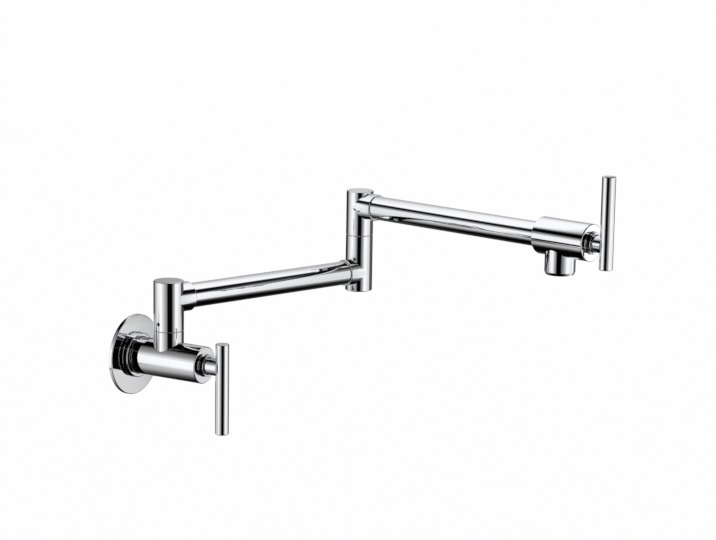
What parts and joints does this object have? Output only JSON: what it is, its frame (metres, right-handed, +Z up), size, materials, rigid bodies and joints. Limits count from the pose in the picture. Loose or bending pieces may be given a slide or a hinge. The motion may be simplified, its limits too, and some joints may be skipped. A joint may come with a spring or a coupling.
{
  "type": "pot filler",
  "caption": "Wall mounted folding pot filler: round wall flange, two swivelling arms, a lever valve at each end and a short spout pointing down.",
  "frame": {"origin": "centre of the wall flange, on the wall's face", "axes": "+Y into the wall, -Y out into the room along the inlet valve's axis, +Z up, +X to the side that the lower arm swings to"},
  "size_m": [0.258, 0.4103, 0.2383],
  "materials": {
    "chrome": "mirror-polished chrome plate over brass",
    "brass": "turned brass, bare",
    "steel": "plain stainless screw",
    "seal_rubber": "moulded, matte",
    "acetal": "moulded acetal",
    "ceramic": "lapped ceramic"
  },
  "bodies": {
    "wall_body": {"wall_flange": "chrome", "flange_gasket": "seal_rubber", "flange_grub_screw": "steel", "inlet_nipple": "brass", "nipple_seal": "seal_rubber", "inlet_valve_body": "chrome", "base_spigot": "brass", "base_lower_seal": "seal_rubber", "base_upper_seal": "seal_rubber", "base_thrust_washer": "acetal", "inlet_cartridge_housing": "brass", "inlet_seat_seal": "seal_rubber", "inlet_fixed_disc": "ceramic", "inlet_cartridge_ring": "seal_rubber", "inlet_bonnet_collar": "chrome"},
    "inlet_handle": {"inlet_moving_disc": "ceramic", "inlet_spindle": "brass", "inlet_spindle_ring": "seal_rubber", "inlet_handle_hub": "chrome", "inlet_handle_grub_screw": "steel", "inlet_handle_bar": "chrome"},
    "lower_arm": {"base_swivel_head": "chrome", "base_retaining_screw": "steel", "lower_arm_tube": "chrome", "elbow_lower_post": "chrome", "elbow_retaining_screw": "steel", "elbow_thrust_washer": "acetal"},
    "upper_arm": {"elbow_spigot": "brass", "elbow_upper_seal": "seal_rubber", "elbow_lower_seal": "seal_rubber", "elbow_upper_post": "chrome", "upper_arm_tube": "chrome", "outlet_valve_body": "chrome", "aerator_housing": "chrome", "aerator_insert": "acetal", "aerator_washer": "seal_rubber", "outlet_cartridge_housing": "brass", "outlet_seat_seal": "seal_rubber", "outlet_fixed_disc": "ceramic", "outlet_cartridge_ring": "seal_rubber", "outlet_bonnet_collar": "chrome"},
    "outlet_handle": {"outlet_moving_disc": "ceramic", "outlet_spindle": "brass", "outlet_spindle_ring": "seal_rubber", "outlet_handle_hub": "chrome", "outlet_handle_grub_screw": "steel", "outlet_handle_bar": "chrome"}
  },
  "joints": [
    {"name": "base_swivel", "type": "hinge", "parent": "wall_body", "child": "lower_arm", "pos_m": [0, -0.0392, 0.02715], "axis": [0, 0, 1], "range_deg": [-161.2, 18.8]},
    {"name": "elbow_swivel", "type": "hinge", "parent": "lower_arm", "child": "upper_arm", "pos_m": [0.20911, -0.11039, 0.09055], "axis": [0, 0, 1], "continuous": true},
    {"name": "inlet_valve_turn", "type": "hinge", "parent": "wall_body", "child": "inlet_handle", "pos_m": [0, -0.0782, 0], "axis": [0, -1, 0], "range_deg": [0, 90]},
    {"name": "outlet_valve_turn", "type": "hinge", "parent": "upper_arm", "child": "outlet_handle", "pos_m": [0.15859, -0.37526, 0.1183], "axis": [-0.1874, -0.9823, 0], "range_deg": [0, 90]}
  ]
}
